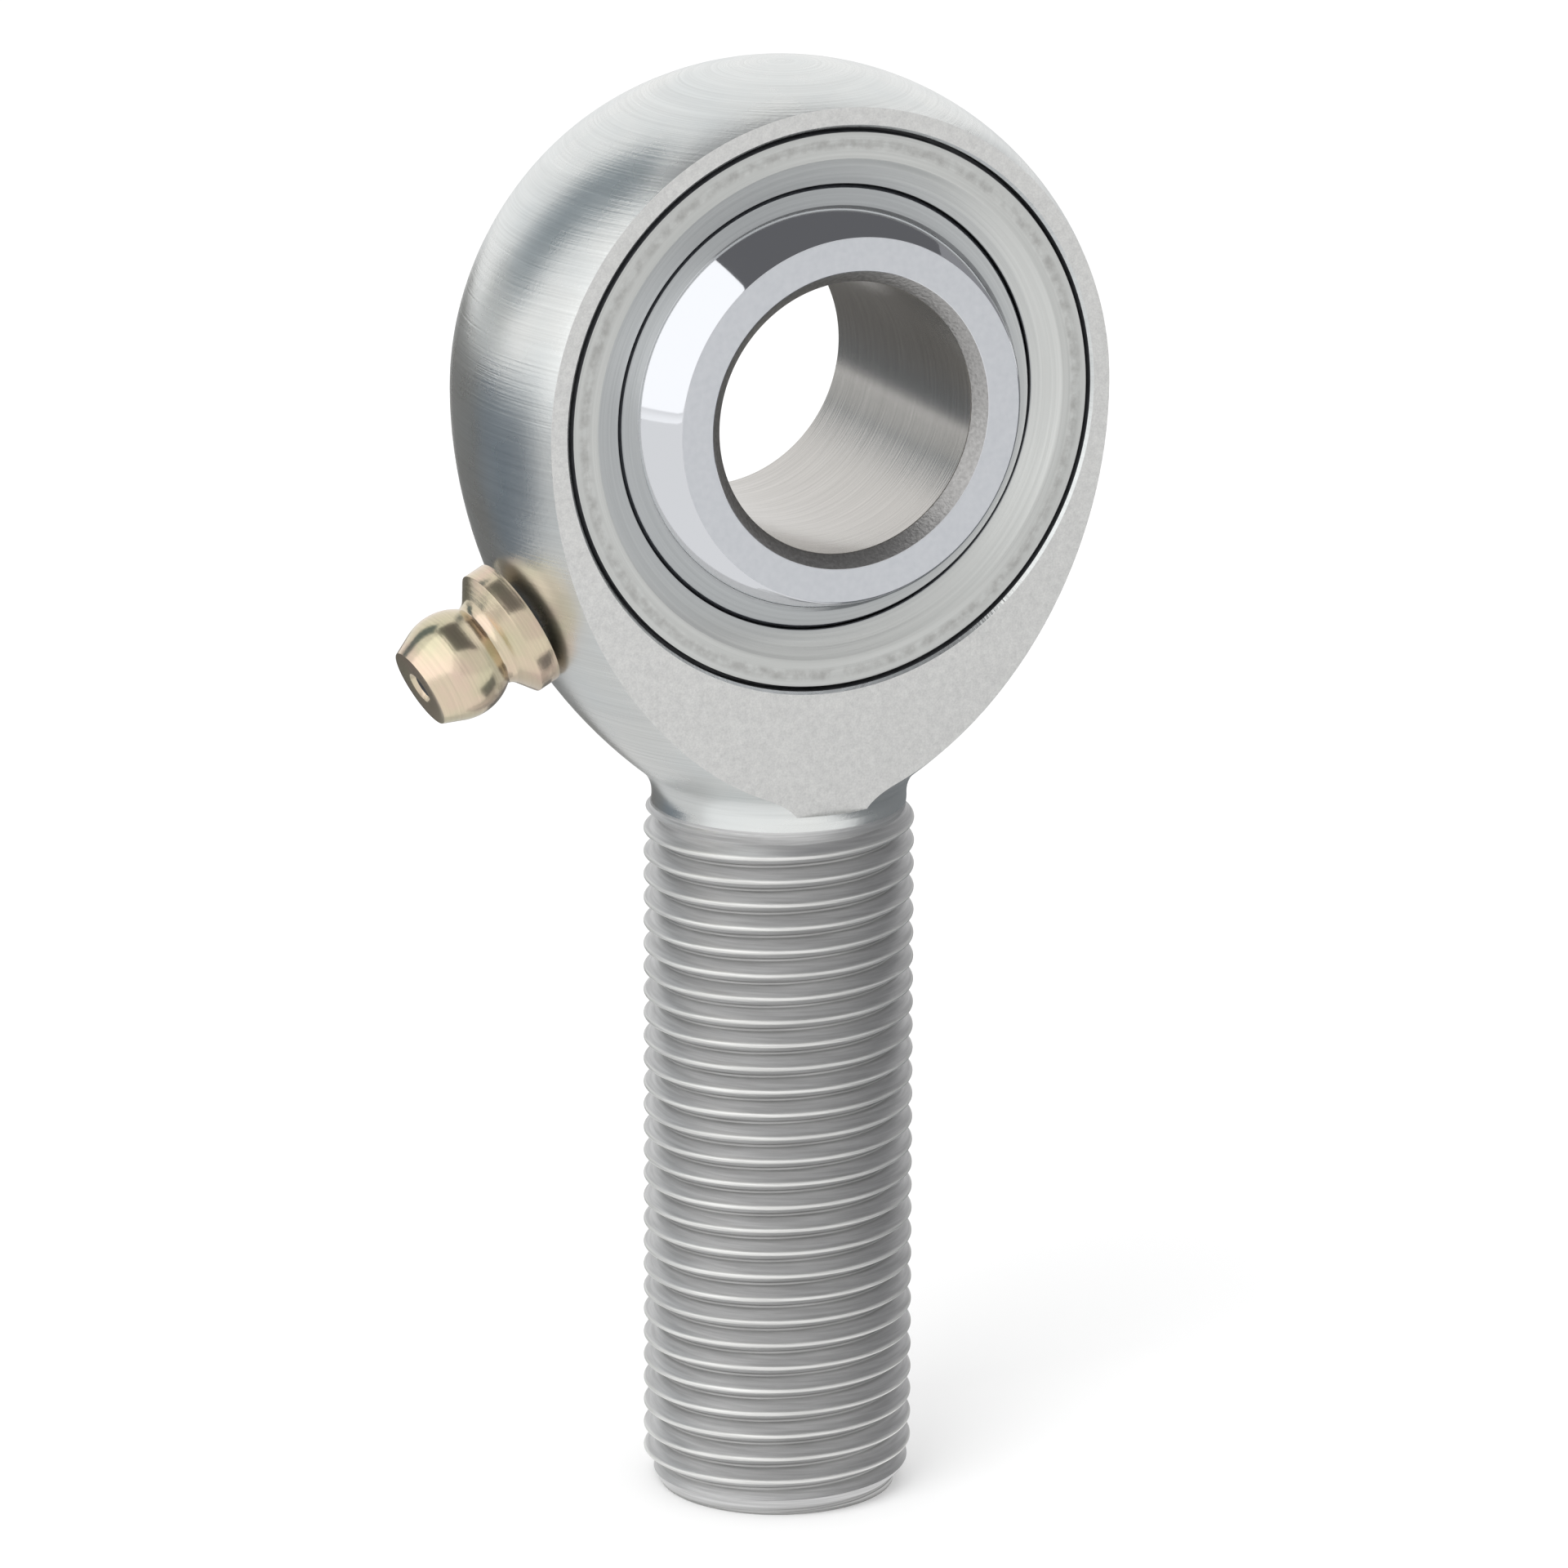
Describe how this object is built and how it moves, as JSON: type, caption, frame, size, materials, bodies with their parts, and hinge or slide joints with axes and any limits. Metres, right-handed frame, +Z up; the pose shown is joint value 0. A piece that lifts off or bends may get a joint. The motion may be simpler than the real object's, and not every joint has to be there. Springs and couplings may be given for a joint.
{
  "type": "rod end",
  "caption": "Male rod end: a spherical plain bearing held in a round head with milled flats, on a threaded shank, with a grease nipple on its flank.",
  "frame": {"origin": "centre of the ball, on the bore's axis", "axes": "+Y along the bore away from the pictured side, +Z up from the shank's end through the head, -X towards the grease nipple"},
  "size_m": [0.0429, 0.019, 0.0858],
  "materials": {
    "zinc_plated_steel": "satin",
    "race_steel": "satin",
    "chrome_steel": "polished",
    "yellow_zinc": "satin",
    "check_ball_steel": "polished",
    "spring_steel": "plain"
  },
  "bodies": {
    "housing": {"housing": "zinc_plated_steel", "outer_ring": "race_steel", "nipple_body": "yellow_zinc", "nipple_spring": "spring_steel"},
    "ball": {"ball": "chrome_steel"},
    "check_ball": {"nipple_check_ball": "check_ball_steel"}
  },
  "joints": [
    {"name": "ball_tilt", "type": "hinge", "parent": "housing", "child": "ball", "pos_m": [0, 0, 0], "axis": [1, 0, 0], "range_deg": [-12, 12]},
    {"name": "check_lift", "type": "slide", "parent": "housing", "child": "check_ball", "axis": [0.887, 0, 0.4617], "range_m": [0, 0.001], "stiffness_N_per_m": 500, "springref_m": -0.001, "deforming": ["nipple_spring"]}
  ]
}
